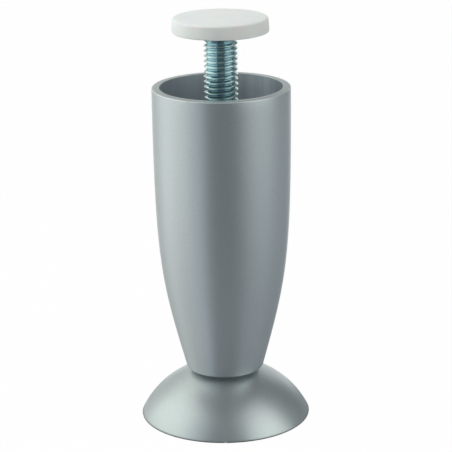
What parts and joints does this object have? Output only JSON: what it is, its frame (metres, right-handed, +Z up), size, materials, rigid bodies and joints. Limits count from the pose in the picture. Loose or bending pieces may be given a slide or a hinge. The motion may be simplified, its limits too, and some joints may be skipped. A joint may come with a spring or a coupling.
{
  "type": "furniture leg",
  "caption": "Height-adjustable furniture leg: a tapered cup-shaped sleeve on a domed base, with a threaded screw and a flat round glide pad in its open end.",
  "frame": {"origin": "on the floor, on the leg's axis, in the plane that the domed base's rim stands on", "axes": "+Z up along the leg's axis, from the domed base to the glide pad"},
  "size_m": [0.05, 0.05, 0.12],
  "materials": {
    "satin_silver": "satin",
    "blue_zinc": "satin",
    "turned_steel": "satin",
    "white_plastic": "satin"
  },
  "bodies": {
    "leg": {"domed_base": "satin_silver", "tapered_sleeve": "satin_silver", "threaded_bush": "turned_steel", "lock_washer": "turned_steel", "lock_nut": "turned_steel"},
    "pad": {"glide_pad": "white_plastic"},
    "screw": {"adjusting_screw": "blue_zinc"}
  },
  "joints": [
    {"name": "glide_travel", "type": "slide", "parent": "leg", "child": "pad", "axis": [0, 0, 1], "range_m": [-0.02, 0.01]},
    {"name": "screw_turn", "type": "hinge", "parent": "pad", "child": "screw", "pos_m": [0, 0, 0.117], "axis": [0, 0, 1], "range_deg": [-4800, 2400]}
  ],
  "couplings": [
    {"joint": "screw_turn", "follows": "glide_travel", "rad_per_m": 4188.8}
  ]
}
